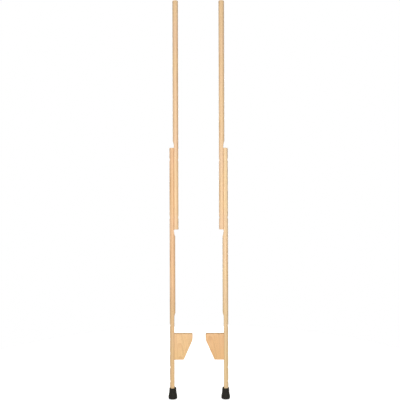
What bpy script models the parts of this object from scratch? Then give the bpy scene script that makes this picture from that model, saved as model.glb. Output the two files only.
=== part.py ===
"""A pair of wooden stilts, each made of two round poles that are bolted side by side.

Units are metres, with Z up. The origin is on the ground midway between the stilts, X runs across the pair
and Y runs from front to back. Every piece is drawn once, in the frame of a single stilt: its leg stands on
the Z axis and its footrest points along +X. The left stilt is that frame moved sideways. The right one is
the same stilt after half a turn about Z, so that the two footrests point at each other.
"""

import math

import bmesh
import bpy
from mathutils import Matrix, Vector

# Fits
FIT_GAP = 0.0003  # between two faces that rest on each other
BORE_CLEARANCE = 0.0003  # all round a shank, a sleeve, an insert or a leg in its hole
HEAD_CLEARANCE = 0.0005  # all round a bolt head or a washer in its counterbore

# The pair
FOOTREST_SPACING = 0.065  # between the noses of the two footrests

# Poles
POLE_DIAMETER = 0.028
POLE_END_CHAMFER = 0.002
LEG_LENGTH = 1.250
HAND_POLE_LENGTH = 1.150
LAP_LENGTH = 0.410  # how much of the hand pole stands beside the leg

# Milled flats
FLAT_DEPTH = 0.0055
LAP_FLAT_OVERRUN = 0.009  # a lap flat runs this far past the end of the other pole
STEP_FLAT_OVERRUN = 0.007  # the lower flat runs this far past the highest place of the footrest
CUTTER_RADIUS = 0.0625  # the round milling head leaves this curve at the end of each flat

# Footrest
TREAD_HEIGHT = 0.327  # ground to the face that the foot stands on
FOOTREST_HEIGHT = 0.130
FOOTREST_WIDTH = 0.092  # from the leg's flat to the nose
FOOTREST_TOE_WIDTH = 0.0475  # the same along its lower end
FOOTREST_THICKNESS = 0.028
FOOTREST_NOSE = 0.030  # the upright part of its inner edge
NOSE_RADIUS = 0.040  # between the nose and the slope below it
FOOTREST_EDGE_RADIUS = 0.003
PLACES_ABOVE = 1  # places on the leg, higher than this one, that the footrest can be moved to

# Footrest bolts, washers and threaded inserts
HOLE_PITCH = 0.070  # between holes in the leg, and between the two bolts
STEP_SCREW_DIAMETER = 0.008
STEP_BOLT_REACH = 0.027  # length of the bolt beyond the leg's flat
STEP_HEAD_DIAMETER = 0.014
STEP_HEAD_TOP_DIAMETER = 0.0066  # the flat on top of the domed head
STEP_HEAD_HEIGHT = 0.0044
STEP_HEAD_SINK = 0.0006  # top of the head below the leg's outer side
STEP_KEY_WIDTH = 0.005  # across the flats of the key that turns the bolt
STEP_KEY_DEPTH = 0.0026
WASHER_DIAMETER = 0.016
WASHER_THICKNESS = 0.0016
INSERT_WALL = 0.0017
INSERT_LENGTH = 0.025
INSERT_SINK = 0.0005  # the insert lies this far under the footrest's face
INSERT_HOLE_RELIEF = 0.004  # the hole goes on past the bolt's tip

# Lap bolts and their sleeve nuts
LAP_BOLT_INSET = 0.060  # from each end of the lap
LAP_SCREW_DIAMETER = 0.006
LAP_SLEEVE_WALL = 0.00095
LAP_SLEEVE_SETBACK = 0.001  # the sleeve ends this far inside the hand pole
LAP_SLEEVE_BASE = 0.0035  # solid metal between the sleeve's bore and its head
LAP_BORE_RELIEF = 0.001  # the sleeve's bore goes on past the bolt's tip
LAP_HEAD_DIAMETER = 0.015
LAP_HEAD_HEIGHT = 0.0028
LAP_HEAD_SINK = 0.0032  # face of the head below the pole's outer side
LAP_HEAD_CHAMFER = 0.0006
LAP_KEY_WIDTH = 0.004
LAP_KEY_DEPTH = 0.0018
SHANK_CHAMFER = 0.0008

# Rubber foot and the steel disc in it
FOOT_HEIGHT = 0.054
FOOT_FLOOR = 0.008  # rubber under the leg
FOOT_WALL = 0.003  # at the rim
FOOT_TAPER = 0.001  # the sleeve grows by this much towards its lower end
FOOT_FLARE = 0.004  # the base stands out by this much more
FOOT_BASE_HEIGHT = 0.009
FOOT_FLARE_HEIGHT = 0.027
FOOT_EDGE_RADIUS = 0.0025
FOOT_RIM_RADIUS = 0.001
GROOVE_START = 0.006  # radius of the plain centre of the sole
GROOVE_PITCH = 0.006
GROOVE_WIDTH = 0.002
GROOVE_DEPTH = 0.0015
DISC_THICKNESS = 0.0015
DISC_CLEARANCE = 0.001  # all round the disc in the foot
DISC_HOLE_DIAMETER = 0.008

# Smoothness of the round shapes
POLE_SEGMENTS = 40
FOOT_SEGMENTS = 32
BOLT_SEGMENTS = 16
ARC_STEPS = 5
EDGE_STEPS = 3
SMOOTH_ANGLE = math.radians(35)
SHARP_CORNER = math.radians(30)
CUT_MARGIN = 0.004  # cutters stand out of the wood by this much
WELD = 1e-6

# Poles and flats that follow from the sizes above
POLE_RADIUS = POLE_DIAMETER / 2
SEAT_X = POLE_RADIUS - FLAT_DEPTH  # the plane in which the flats of a stilt lie
LEG_FACE_X = SEAT_X - FIT_GAP / 2
PARTNER_FACE_X = SEAT_X + FIT_GAP / 2  # of the hand pole and the footrest
LEG_OUTSIDE = -POLE_RADIUS
LEG_BOTTOM = FOOT_FLOOR + DISC_THICKNESS + 2 * FIT_GAP
LEG_TOP = LEG_BOTTOM + LEG_LENGTH
HAND_POLE_X = 2 * SEAT_X
HAND_POLE_INSIDE = HAND_POLE_X + POLE_RADIUS
HAND_POLE_BOTTOM = LEG_TOP - LAP_LENGTH
HAND_POLE_TOP = HAND_POLE_BOTTOM + HAND_POLE_LENGTH
STEP_FLAT_TOP = TREAD_HEIGHT + PLACES_ABOVE * HOLE_PITCH + STEP_FLAT_OVERRUN

# Lap bolts that follow from them
LAP_BOLT_HEIGHTS = {"upper": LEG_TOP - LAP_BOLT_INSET, "lower": HAND_POLE_BOTTOM + LAP_BOLT_INSET}
LAP_SEAT_DEPTH = LAP_HEAD_SINK + LAP_HEAD_HEIGHT + FIT_GAP
LAP_BORE_DIAMETER = LAP_SCREW_DIAMETER + 2 * BORE_CLEARANCE
LAP_SLEEVE_DIAMETER = LAP_BORE_DIAMETER + 2 * LAP_SLEEVE_WALL
LAP_NUT_SEAT_X = HAND_POLE_INSIDE - LAP_HEAD_SINK - LAP_HEAD_HEIGHT
LAP_BOLT_SEAT_X = LEG_OUTSIDE + LAP_HEAD_SINK + LAP_HEAD_HEIGHT
LAP_BOLT_TIP_X = LAP_NUT_SEAT_X - LAP_SLEEVE_BASE - LAP_BORE_RELIEF

# The footrest and its bolts that follow from them
FOOTREST_BOTTOM = TREAD_HEIGHT - FOOTREST_HEIGHT
FOOTREST_MIDDLE = TREAD_HEIGHT - FOOTREST_HEIGHT / 2
FOOTREST_TIP_X = SEAT_X + FOOTREST_WIDTH
STANCE_WIDTH = 2 * FOOTREST_TIP_X + FOOTREST_SPACING  # between the axes of the two legs
PLACES_BELOW = math.floor((FOOTREST_BOTTOM - FOOT_HEIGHT) / HOLE_PITCH)
STEP_BOLT_HEIGHTS = {"upper": FOOTREST_MIDDLE + HOLE_PITCH / 2, "lower": FOOTREST_MIDDLE - HOLE_PITCH / 2}
STEP_BOLT_SEAT_X = LEG_OUTSIDE + STEP_HEAD_SINK + STEP_HEAD_HEIGHT
STEP_BOLT_TIP_X = SEAT_X + STEP_BOLT_REACH
STEP_BORE_DIAMETER = STEP_SCREW_DIAMETER + 2 * BORE_CLEARANCE
STEP_SEAT_DEPTH = STEP_HEAD_SINK + STEP_HEAD_HEIGHT + WASHER_THICKNESS + 2 * FIT_GAP
STEP_SEAT_DIAMETER = max(WASHER_DIAMETER, STEP_HEAD_DIAMETER) + 2 * HEAD_CLEARANCE
INSERT_DIAMETER = STEP_BORE_DIAMETER + 2 * INSERT_WALL
INSERT_START_X = PARTNER_FACE_X + INSERT_SINK

# The rubber foot that follows from them
FOOT_BORE_RADIUS = POLE_RADIUS + BORE_CLEARANCE
FOOT_RIM = FOOT_BORE_RADIUS + FOOT_WALL
FOOT_SHOULDER = FOOT_RIM + FOOT_TAPER
FOOT_BASE = FOOT_SHOULDER + FOOT_FLARE


def clear_scene():
    for item in list(bpy.data.objects):
        bpy.data.objects.remove(item, do_unlink=True)


def finish(name, colour, roughness, metallic=0.0):
    material = bpy.data.materials.new(name)
    material.use_nodes = True
    shader = material.node_tree.nodes["Principled BSDF"]
    shader.inputs["Base Color"].default_value = (*colour, 1.0)
    shader.inputs["Roughness"].default_value = roughness
    shader.inputs["Metallic"].default_value = metallic
    material.diffuse_color = (*colour, 1.0)
    return material


def mesh_from(shape, name):
    bmesh.ops.recalc_face_normals(shape, faces=shape.faces)
    mesh = bpy.data.meshes.new(name)
    shape.to_mesh(mesh)
    shape.free()
    return mesh


def arc(centre, radius, start, end, steps):
    """Points on an arc from the start angle to the end angle, both included."""
    turns = [start + (end - start) * step / steps for step in range(steps + 1)]
    return [(centre[0] + radius * math.cos(turn), centre[1] + radius * math.sin(turn)) for turn in turns]


def turned(name, profile, segments):
    """A solid turned about Z, from (radius, height) points that run from the axis back to the axis.

    A profile that stays off the axis is closed into a ring.
    """
    shape = bmesh.new()
    points = [shape.verts.new((radius, 0, height)) for radius, height in profile]
    edges = [shape.edges.new(pair) for pair in zip(points, points[1:])]
    if profile[0][0] > 0:
        edges.append(shape.edges.new((points[-1], points[0])))
    bmesh.ops.spin(
        shape,
        geom=points + edges,
        cent=(0, 0, 0),
        axis=(0, 0, 1),
        angle=2 * math.pi,
        steps=segments,
        use_merge=True,
    )
    bmesh.ops.remove_doubles(shape, verts=shape.verts, dist=WELD)
    return mesh_from(shape, name)


def prism(name, outline, thickness):
    """A plate with this outline of (x, z) points, as thick in Y and centred on the XZ plane."""
    shape = bmesh.new()
    face = shape.faces.new([shape.verts.new((x, -thickness / 2, z)) for x, z in outline])
    grown = bmesh.ops.extrude_face_region(shape, geom=[face])
    lifted = [item for item in grown["geom"] if isinstance(item, bmesh.types.BMVert)]
    bmesh.ops.translate(shape, verts=lifted, vec=(0, thickness, 0))
    return mesh_from(shape, name)


def drill(diameter, start, end, height, facet_turn=0.5):
    """A cutter along X at this height.

    Its facets are turned by this share of one facet, which keeps their corners off the pole's edges.
    """
    shape = bmesh.new()
    turn = Matrix.Rotation(2 * math.pi * facet_turn / BOLT_SEGMENTS, 4, "Z")
    along_x = Matrix.Rotation(math.pi / 2, 4, "Y")
    place = Matrix.Translation(((start + end) / 2, 0, height))
    bmesh.ops.create_cone(
        shape,
        cap_ends=True,
        segments=BOLT_SEGMENTS,
        radius1=diameter / 2,
        radius2=diameter / 2,
        depth=abs(end - start),
        matrix=place @ along_x @ turn,
    )
    return mesh_from(shape, "drill")


def hex_key(width, bottom, top):
    """A cutter along Z for the socket of a hexagon key."""
    shape = bmesh.new()
    corner_radius = width / math.sqrt(3)
    bmesh.ops.create_cone(
        shape,
        cap_ends=True,
        segments=6,
        radius1=corner_radius,
        radius2=corner_radius,
        depth=top - bottom,
        matrix=Matrix.Translation((0, 0, (bottom + top) / 2)),
    )
    return mesh_from(shape, "hex_key")


def cut(name, blank, cutters):
    """The mesh that is left of the blank when every cutter is taken away from it."""
    body = bpy.data.objects.new(name, blank)
    bpy.context.scene.collection.objects.link(body)
    tools = []
    for cutter in cutters:
        tool = bpy.data.objects.new(f"{name}_cutter", cutter)
        tool.hide_render = True
        tool.display_type = "WIRE"
        bpy.context.scene.collection.objects.link(tool)
        modifier = body.modifiers.new("cut", "BOOLEAN")
        modifier.operation = "DIFFERENCE"
        modifier.solver = "EXACT"
        modifier.object = tool
        tools.append(tool)
    bpy.context.view_layer.update()
    graph = bpy.context.evaluated_depsgraph_get()
    result = bpy.data.meshes.new_from_object(body.evaluated_get(graph))
    result.name = name
    for item in [body, *tools]:
        bpy.data.objects.remove(item, do_unlink=True)
    return result


def laid_along_x(mesh, start_x, height, facing=1):
    """Lays a piece that was drawn along Z from height 0 along +X, or along -X when it faces that way."""
    place = Matrix.Translation((start_x, 0, height))
    mesh.transform(place @ Matrix.Rotation(facing * math.pi / 2, 4, "Y"))
    return mesh


def pole_blank(name, axis_x, bottom, top):
    """A round pole with a small chamfer at both ends."""
    shape = bmesh.new()
    bmesh.ops.create_cone(
        shape,
        cap_ends=True,
        segments=POLE_SEGMENTS,
        radius1=POLE_RADIUS,
        radius2=POLE_RADIUS,
        depth=top - bottom,
        matrix=Matrix.Translation((axis_x, 0, (bottom + top) / 2)),
    )
    ends = [face for face in shape.faces if len(face.verts) == POLE_SEGMENTS]
    rims = [edge for face in ends for edge in face.edges]
    bmesh.ops.bevel(
        shape,
        geom=rims,
        offset=POLE_END_CHAMFER,
        offset_type="OFFSET",
        affect="EDGES",
        segments=1,
        profile=0.5,
        material=-1,
    )
    return mesh_from(shape, name)


def flat_cutter(face_x, outward, open_end, full_end):
    """What a round milling head takes away as it runs in from the pole's open end and lifts out again.

    The flat lies at face_x and faces outward, +1 or -1 along X. It has its full depth as far as full_end.
    """
    along = math.copysign(1, full_end - open_end)
    lift = FLAT_DEPTH + CUT_MARGIN
    swing = math.acos(1 - lift / CUTTER_RADIUS)
    run_out = [
        (face_x + outward * (CUTTER_RADIUS - across), full_end + along * up)
        for across, up in arc((0, 0), CUTTER_RADIUS, 0, swing, ARC_STEPS)
    ]
    start = open_end - along * CUT_MARGIN
    outline = [(face_x + outward * lift, start), (face_x, start), *run_out]
    return prism("flat_cutter", outline, POLE_DIAMETER + 2 * CUT_MARGIN)


def step_hole_heights():
    """Every hole that the footrest can be bolted to, in all its places on the flat."""
    lowest = STEP_BOLT_HEIGHTS["lower"] - PLACES_BELOW * HOLE_PITCH
    return [lowest + place * HOLE_PITCH for place in range(PLACES_BELOW + PLACES_ABOVE + 2)]


def leg_pole():
    blank = pole_blank("leg_pole", 0, LEG_BOTTOM, LEG_TOP)
    cutters = [
        flat_cutter(LEG_FACE_X, 1, LEG_TOP, HAND_POLE_BOTTOM - LAP_FLAT_OVERRUN),
        flat_cutter(LEG_FACE_X, 1, LEG_BOTTOM, STEP_FLAT_TOP),
    ]
    outside = LEG_OUTSIDE - CUT_MARGIN
    inside = POLE_RADIUS + CUT_MARGIN
    lap_seat_diameter = LAP_HEAD_DIAMETER + 2 * HEAD_CLEARANCE
    lap_hole = (LAP_BORE_DIAMETER, lap_seat_diameter, LAP_SEAT_DEPTH)
    step_hole = (STEP_BORE_DIAMETER, STEP_SEAT_DIAMETER, STEP_SEAT_DEPTH)
    holes = [(height, *lap_hole) for height in LAP_BOLT_HEIGHTS.values()]
    holes += [(height, *step_hole) for height in step_hole_heights()]
    for index, (height, bore, seat, depth) in enumerate(holes):
        # Each hole's facets are turned a little further, so that no three corners line up along the leg.
        facet_turn = (index + 0.5) / len(holes)
        cutters.append(drill(bore, outside, inside, height, facet_turn))
        cutters.append(drill(seat, outside, LEG_OUTSIDE + depth, height, facet_turn))
    return cut("leg_pole", blank, cutters)


def hand_pole():
    blank = pole_blank("hand_pole", HAND_POLE_X, HAND_POLE_BOTTOM, HAND_POLE_TOP)
    cutters = [flat_cutter(PARTNER_FACE_X, -1, HAND_POLE_BOTTOM, LEG_TOP + LAP_FLAT_OVERRUN)]
    near = HAND_POLE_X - POLE_RADIUS - CUT_MARGIN
    far = HAND_POLE_INSIDE + CUT_MARGIN
    seat = HAND_POLE_INSIDE - LAP_SEAT_DEPTH
    for height in LAP_BOLT_HEIGHTS.values():
        cutters.append(drill(LAP_SLEEVE_DIAMETER + 2 * BORE_CLEARANCE, near, far, height))
        cutters.append(drill(LAP_HEAD_DIAMETER + 2 * HEAD_CLEARANCE, seat, far, height))
    return cut("hand_pole", blank, cutters)


def footrest_outline():
    """The corners in turn, with an arc where the upright nose meets the slope."""
    nose_end = TREAD_HEIGHT - FOOTREST_NOSE
    toe_x = SEAT_X + FOOTREST_TOE_WIDTH
    slope = math.atan2(FOOTREST_TIP_X - toe_x, nose_end - FOOTREST_BOTTOM)
    centre = (FOOTREST_TIP_X - NOSE_RADIUS, nose_end + NOSE_RADIUS * math.tan(slope / 2))
    leg_side = [(PARTNER_FACE_X, FOOTREST_BOTTOM), (PARTNER_FACE_X, TREAD_HEIGHT)]
    nose = [(FOOTREST_TIP_X, TREAD_HEIGHT), *arc(centre, NOSE_RADIUS, 0, -slope, ARC_STEPS)]
    return [*leg_side, *nose, (toe_x, FOOTREST_BOTTOM)]


def footrest():
    plate = prism("footrest", footrest_outline(), FOOTREST_THICKNESS)
    shape = bmesh.new()
    shape.from_mesh(plate)

    def on_leg(vert):
        return abs(vert.co.x - PARTNER_FACE_X) < WELD

    edges = [edge for edge in shape.edges if edge.calc_face_angle() > SHARP_CORNER]
    rounded = [edge for edge in edges if not all(on_leg(vert) for vert in edge.verts)]
    bmesh.ops.bevel(
        shape,
        geom=rounded,
        offset=FOOTREST_EDGE_RADIUS,
        offset_type="OFFSET",
        affect="EDGES",
        segments=EDGE_STEPS,
        profile=0.5,
        material=-1,
    )
    hole = INSERT_DIAMETER + 2 * BORE_CLEARANCE
    start = PARTNER_FACE_X - CUT_MARGIN
    end = max(STEP_BOLT_TIP_X, INSERT_START_X + INSERT_LENGTH) + INSERT_HOLE_RELIEF
    cutters = [drill(hole, start, end, height) for height in STEP_BOLT_HEIGHTS.values()]
    return cut("footrest", mesh_from(shape, "footrest"), cutters)


def rubber_foot():
    """A turned cup with a flared base, a soft edge and rings of tread cut into its sole."""
    profile = [(0, 0)]
    radius = GROOVE_START
    while radius + GROOVE_PITCH < FOOT_BASE - FOOT_EDGE_RADIUS:
        profile += [(radius, 0), (radius, GROOVE_DEPTH)]
        profile += [(radius + GROOVE_WIDTH, GROOVE_DEPTH), (radius + GROOVE_WIDTH, 0)]
        radius += GROOVE_PITCH
    edge_centre = (FOOT_BASE - FOOT_EDGE_RADIUS, FOOT_EDGE_RADIUS)
    profile += arc(edge_centre, FOOT_EDGE_RADIUS, -math.pi / 2, 0, EDGE_STEPS)
    for step in range(ARC_STEPS + 1):
        share = step / ARC_STEPS
        ease = (1 - math.cos(math.pi * share)) / 2
        profile.append((FOOT_BASE - FOOT_FLARE * ease, FOOT_BASE_HEIGHT + FOOT_FLARE_HEIGHT * share))
    rim_centre = (FOOT_RIM - FOOT_RIM_RADIUS, FOOT_HEIGHT - FOOT_RIM_RADIUS)
    profile += arc(rim_centre, FOOT_RIM_RADIUS, 0, math.pi / 2, EDGE_STEPS)
    profile += [(FOOT_BORE_RADIUS, FOOT_HEIGHT), (FOOT_BORE_RADIUS, FOOT_FLOOR), (0, FOOT_FLOOR)]
    return turned("rubber_foot", profile, FOOT_SEGMENTS)


def ring(name, inner_radius, outer_radius, bottom, top):
    corners = [(inner_radius, bottom), (outer_radius, bottom), (outer_radius, top), (inner_radius, top)]
    return turned(name, corners, BOLT_SEGMENTS)


def foot_disc():
    bottom = FOOT_FLOOR + FIT_GAP
    outer_radius = FOOT_BORE_RADIUS - DISC_CLEARANCE
    return ring("foot_disc", DISC_HOLE_DIAMETER / 2, outer_radius, bottom, bottom + DISC_THICKNESS)


def shank(radius, length):
    """The lower half of a bolt's profile, from under its head to the axis at its tip."""
    return [(radius, 0), (radius, length - SHANK_CHAMFER), (radius - SHANK_CHAMFER, length), (0, length)]


def flat_head():
    """A connector head's profile, from the axis to its outer edge, above height 0."""
    radius = LAP_HEAD_DIAMETER / 2
    top = -LAP_HEAD_HEIGHT
    return [(0, top), (radius - LAP_HEAD_CHAMFER, top), (radius, top + LAP_HEAD_CHAMFER), (radius, 0)]


def lap_key():
    return hex_key(LAP_KEY_WIDTH, -LAP_HEAD_HEIGHT - CUT_MARGIN, LAP_KEY_DEPTH - LAP_HEAD_HEIGHT)


def lap_bolt(height):
    """The head lies in the leg's outer side. Drawn along Z from under the head, then laid along X."""
    screw = shank(LAP_SCREW_DIAMETER / 2, LAP_BOLT_TIP_X - LAP_BOLT_SEAT_X)
    blank = turned("lap_bolt", flat_head() + screw, BOLT_SEGMENTS)
    return laid_along_x(cut("lap_bolt", blank, [lap_key()]), LAP_BOLT_SEAT_X, height)


def lap_nut(height):
    """The mate of the lap bolt, with its head in the hand pole and a threaded sleeve that takes the bolt."""
    length = LAP_NUT_SEAT_X - SEAT_X - LAP_SLEEVE_SETBACK
    bore = LAP_BORE_DIAMETER / 2
    outside = [(LAP_SLEEVE_DIAMETER / 2, 0), (LAP_SLEEVE_DIAMETER / 2, length)]
    inside = [(bore, length), (bore, LAP_SLEEVE_BASE), (0, LAP_SLEEVE_BASE)]
    blank = turned("lap_nut", flat_head() + outside + inside, BOLT_SEGMENTS)
    return laid_along_x(cut("lap_nut", blank, [lap_key()]), LAP_NUT_SEAT_X, height, facing=-1)


def step_bolt(height):
    """A button-head bolt, drawn along Z from under its head, then laid along X through the leg."""
    crown = math.acos(STEP_HEAD_TOP_DIAMETER / STEP_HEAD_DIAMETER)
    dome = [
        (STEP_HEAD_DIAMETER / 2 * across, -STEP_HEAD_HEIGHT * up / math.sin(crown))
        for across, up in arc((0, 0), 1, crown, 0, ARC_STEPS)
    ]
    screw = shank(STEP_SCREW_DIAMETER / 2, STEP_BOLT_TIP_X - STEP_BOLT_SEAT_X)
    blank = turned("step_bolt", [(0, -STEP_HEAD_HEIGHT), *dome, *screw], BOLT_SEGMENTS)
    key = hex_key(STEP_KEY_WIDTH, -STEP_HEAD_HEIGHT - CUT_MARGIN, STEP_KEY_DEPTH - STEP_HEAD_HEIGHT)
    return laid_along_x(cut("step_bolt", blank, [key]), STEP_BOLT_SEAT_X, height)


def step_washer(height):
    washer = ring("step_washer", STEP_BORE_DIAMETER / 2, WASHER_DIAMETER / 2, 0, WASHER_THICKNESS)
    return laid_along_x(washer, STEP_BOLT_SEAT_X + FIT_GAP, height)


def step_insert(height):
    insert = ring("step_insert", STEP_BORE_DIAMETER / 2, INSERT_DIAMETER / 2, 0, INSERT_LENGTH)
    return laid_along_x(insert, INSERT_START_X, height)


def finished_piece(name, mesh, material, origin):
    """Moves the mesh so that this point becomes its origin, and gives it its finish."""
    mesh.transform(Matrix.Translation(-Vector(origin)))
    mesh.materials.clear()
    mesh.materials.append(material)
    mesh.shade_smooth()
    mesh.set_sharp_from_angle(angle=SMOOTH_ANGLE)
    return name, mesh, origin


def stilt_pieces():
    """Each piece of one stilt: its name, its mesh and where its origin goes."""
    pole_wood = finish("pole_beech", (0.82, 0.58, 0.37), 0.45)
    step_wood = finish("footrest_beech", (0.85, 0.56, 0.29), 0.5)
    rubber = finish("black_rubber", (0.025, 0.023, 0.021), 0.75)
    steel = finish("zinc_plated_steel", (0.62, 0.62, 0.6), 0.35, metallic=1.0)
    pieces = [
        finished_piece("leg_pole", leg_pole(), pole_wood, (0, 0, LEG_BOTTOM)),
        finished_piece("hand_pole", hand_pole(), pole_wood, (HAND_POLE_X, 0, HAND_POLE_BOTTOM)),
        finished_piece("footrest", footrest(), step_wood, (PARTNER_FACE_X, 0, FOOTREST_MIDDLE)),
        finished_piece("rubber_foot", rubber_foot(), rubber, (0, 0, 0)),
        finished_piece("foot_disc", foot_disc(), steel, (0, 0, FOOT_FLOOR)),
    ]
    for place, height in LAP_BOLT_HEIGHTS.items():
        outside = (LEG_OUTSIDE, 0, height)
        inside = (HAND_POLE_INSIDE, 0, height)
        pieces.append(finished_piece(f"lap_bolt_{place}", lap_bolt(height), steel, outside))
        pieces.append(finished_piece(f"lap_nut_{place}", lap_nut(height), steel, inside))
    for place, height in STEP_BOLT_HEIGHTS.items():
        outside = (LEG_OUTSIDE, 0, height)
        seat = (SEAT_X, 0, height)
        pieces.append(finished_piece(f"step_bolt_{place}", step_bolt(height), steel, outside))
        pieces.append(finished_piece(f"step_washer_{place}", step_washer(height), steel, outside))
        pieces.append(finished_piece(f"step_insert_{place}", step_insert(height), steel, seat))
    return pieces


def build():
    clear_scene()
    pieces = stilt_pieces()
    for side, centre_x, turn in (("left", -STANCE_WIDTH / 2, 0), ("right", STANCE_WIDTH / 2, math.pi)):
        stilt = bpy.data.objects.new(f"{side}_stilt", None)
        stilt.location.x = centre_x
        stilt.rotation_euler.z = turn
        bpy.context.scene.collection.objects.link(stilt)
        for name, mesh, origin in pieces:
            piece = bpy.data.objects.new(f"{side}_{name}", mesh)
            piece.location = origin
            piece.parent = stilt
            bpy.context.scene.collection.objects.link(piece)


build()
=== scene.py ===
# %% [markdown]
# # A pair of wooden stilts
#
# Each stilt is two round beech poles, bolted side by side, with a wedge-shaped footrest and a rubber foot.
# The working model is already packed as a frame of plain solids that move on their joints. This lesson gives
# every one of those solids its real surface: turned and milled wood, moulded rubber, plated bolts with
# threads. The first step loads the frame. Nothing here may grow beyond it.

# %% Load the frame
import math

import bmesh
import bpy
from mathutils import Matrix, Vector


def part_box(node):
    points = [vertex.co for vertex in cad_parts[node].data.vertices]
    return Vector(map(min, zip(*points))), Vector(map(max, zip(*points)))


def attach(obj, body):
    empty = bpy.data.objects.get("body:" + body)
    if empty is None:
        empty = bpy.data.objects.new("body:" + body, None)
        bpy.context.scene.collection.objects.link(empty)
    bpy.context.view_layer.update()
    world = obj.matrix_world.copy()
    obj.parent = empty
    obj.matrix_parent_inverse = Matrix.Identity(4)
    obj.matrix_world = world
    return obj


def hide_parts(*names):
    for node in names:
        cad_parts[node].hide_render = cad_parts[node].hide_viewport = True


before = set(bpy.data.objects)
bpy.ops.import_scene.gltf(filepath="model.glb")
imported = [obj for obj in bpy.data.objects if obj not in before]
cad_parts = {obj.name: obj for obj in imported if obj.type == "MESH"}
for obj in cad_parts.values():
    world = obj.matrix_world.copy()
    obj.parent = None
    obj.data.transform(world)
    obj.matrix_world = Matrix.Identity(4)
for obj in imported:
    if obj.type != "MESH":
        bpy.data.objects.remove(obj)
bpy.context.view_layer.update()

# %% [markdown]
# ## Measures of the left stilt
#
# A part that fits another takes its size from it. So the sizes below are read from the frame's solids and not
# typed in again: where the leg stands, how thick a pole is, how high the bolts sit. Only the left stilt is
# measured and modelled. The right one is the same stilt after half a turn about the vertical Z axis, which is
# how a maker works too: both stilts come off the same jigs. Blender counts in metres and a maker in
# millimetres, so one short name turns the one into the other.

# %% Measure the left stilt
mm = 0.001

leg_low, leg_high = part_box("left_leg_pole")
hand_low, hand_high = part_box("left_hand_pole")
footrest_low, footrest_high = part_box("left_footrest")
foot_low, foot_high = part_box("left_rubber_foot")

fit_gap = 0.3 * mm  # between two faces that rest on each other
leg_x = (leg_low.x + leg_high.x) / 2
hand_x = (hand_low.x + hand_high.x) / 2
pole_radius = (leg_high.x - leg_low.x) / 2
partner_face_x = footrest_low.x
leg_face_x = partner_face_x - fit_gap
print(f"pole radius {pole_radius / mm:.1f} mm, leg axis at x {leg_x / mm:.1f} mm")

# %% [markdown]
# ## The camera
#
# The photograph was taken from about a metre above the ground with a level camera, so the poles stay parallel
# and the top of each footrest shows as a thin line. A 50 mm lens on a 36 mm sensor has that perspective when
# it stands far enough back for the two-metre poles to fill the square frame from edge to edge. The last touch
# is a roll of a sixth of a degree, because the photographer's camera wasn't quite upright.

# %% Place the camera
camera_distance = 2798 * mm
camera_height = 998 * mm
camera_offset = 6.4 * mm
camera_roll = math.radians(0.16)
lens_length = 50  # Blender counts lenses and sensors in millimetres
sensor_width = 36

camera = bpy.data.objects.new("camera", bpy.data.cameras.new("camera"))
camera.data.lens = lens_length
camera.data.sensor_width = sensor_width
camera.location = (camera_offset, -camera_distance, camera_height)
camera.rotation_euler = (math.pi / 2, camera_roll, 0)
bpy.context.scene.collection.objects.link(camera)
bpy.context.scene.camera = camera
print("camera at", tuple(round(value, 3) for value in camera.location))

# %% [markdown]
# ## Colours and nodes
#
# Every finish below is a small network of shader nodes. Three helpers keep those networks readable. The first
# turns a colour as a designer writes it, a hexadecimal sRGB value, into the linear numbers that a renderer
# adds and multiplies. The second adds one node, with its settings and with what is plugged into it. A socket
# is found by its name, or by its number where several share a name: a Mix node has its share as input 0, two
# numbers as 2 and 3, two vectors as 4 and 5, and two colours as 6 and 7. The third helper starts a material
# and hands out the two things that are needed next: its node tree and its shader.

# %% Colour and node helpers
def linear(hex_colour):
    """Linear RGBA for an sRGB colour such as 'F0C896'."""
    channels = [int(hex_colour[start:start + 2], 16) / 255 for start in (0, 2, 4)]
    return (*[c / 12.92 if c <= 0.04045 else ((c + 0.055) / 1.055) ** 2.4 for c in channels], 1.0)


def add_node(tree, kind, settings=None, inputs=None):
    """Adds a node. An input is a constant, or the output of another node, which is linked."""
    node = tree.nodes.new(kind)
    for name, value in (settings or {}).items():
        setattr(node, name, value)
    for name, value in (inputs or {}).items():
        if isinstance(value, bpy.types.NodeSocket):
            tree.links.new(value, node.inputs[name])
        else:
            node.inputs[name].default_value = value
    return node


def new_material(name):
    """A new material, its node tree and its Principled shader."""
    material = bpy.data.materials.new(name)
    material.use_nodes = True
    return material, material.node_tree, material.node_tree.nodes["Principled BSDF"]


white = linear("FFFFFF")
print("beech in linear light:", [round(value, 3) for value in linear("EFCCA9")[:3]])

# %% [markdown]
# ## White room
#
# The photograph is a cut-out on pure white. Turning the lamps up until everything goes white would wash out
# the pale wood too. Instead, the sky looks white only to the camera and to mirror-like reflections, and to
# all other rays it is a dim grey fill. The Light Path node tells the two kinds of rays apart.

# %% Sky
sky_fill = 0.12


def sees_background(tree):
    """1 for rays that come from the camera, from a reflection or through glass, and 0 for all others."""
    path = add_node(tree, "ShaderNodeLightPath")
    glossy = add_node(tree, "ShaderNodeMath", {"operation": "MAXIMUM"},
                      {0: path.outputs["Is Camera Ray"], 1: path.outputs["Is Glossy Ray"]})
    either = add_node(tree, "ShaderNodeMath", {"operation": "MAXIMUM"},
                      {0: glossy.outputs[0], 1: path.outputs["Is Transmission Ray"]})
    return either.outputs[0]


world = bpy.data.worlds.new("white_room")
world.use_nodes = True
sky = world.node_tree.nodes["Background"]
sky.inputs["Color"].default_value = white
strength = add_node(world.node_tree, "ShaderNodeMapRange", inputs={
    "Value": sees_background(world.node_tree), "To Min": sky_fill, "To Max": 1.0})
world.node_tree.links.new(strength.outputs[0], sky.inputs["Strength"])
bpy.context.scene.world = world
print(f"sky fill {sky_fill}")

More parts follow.
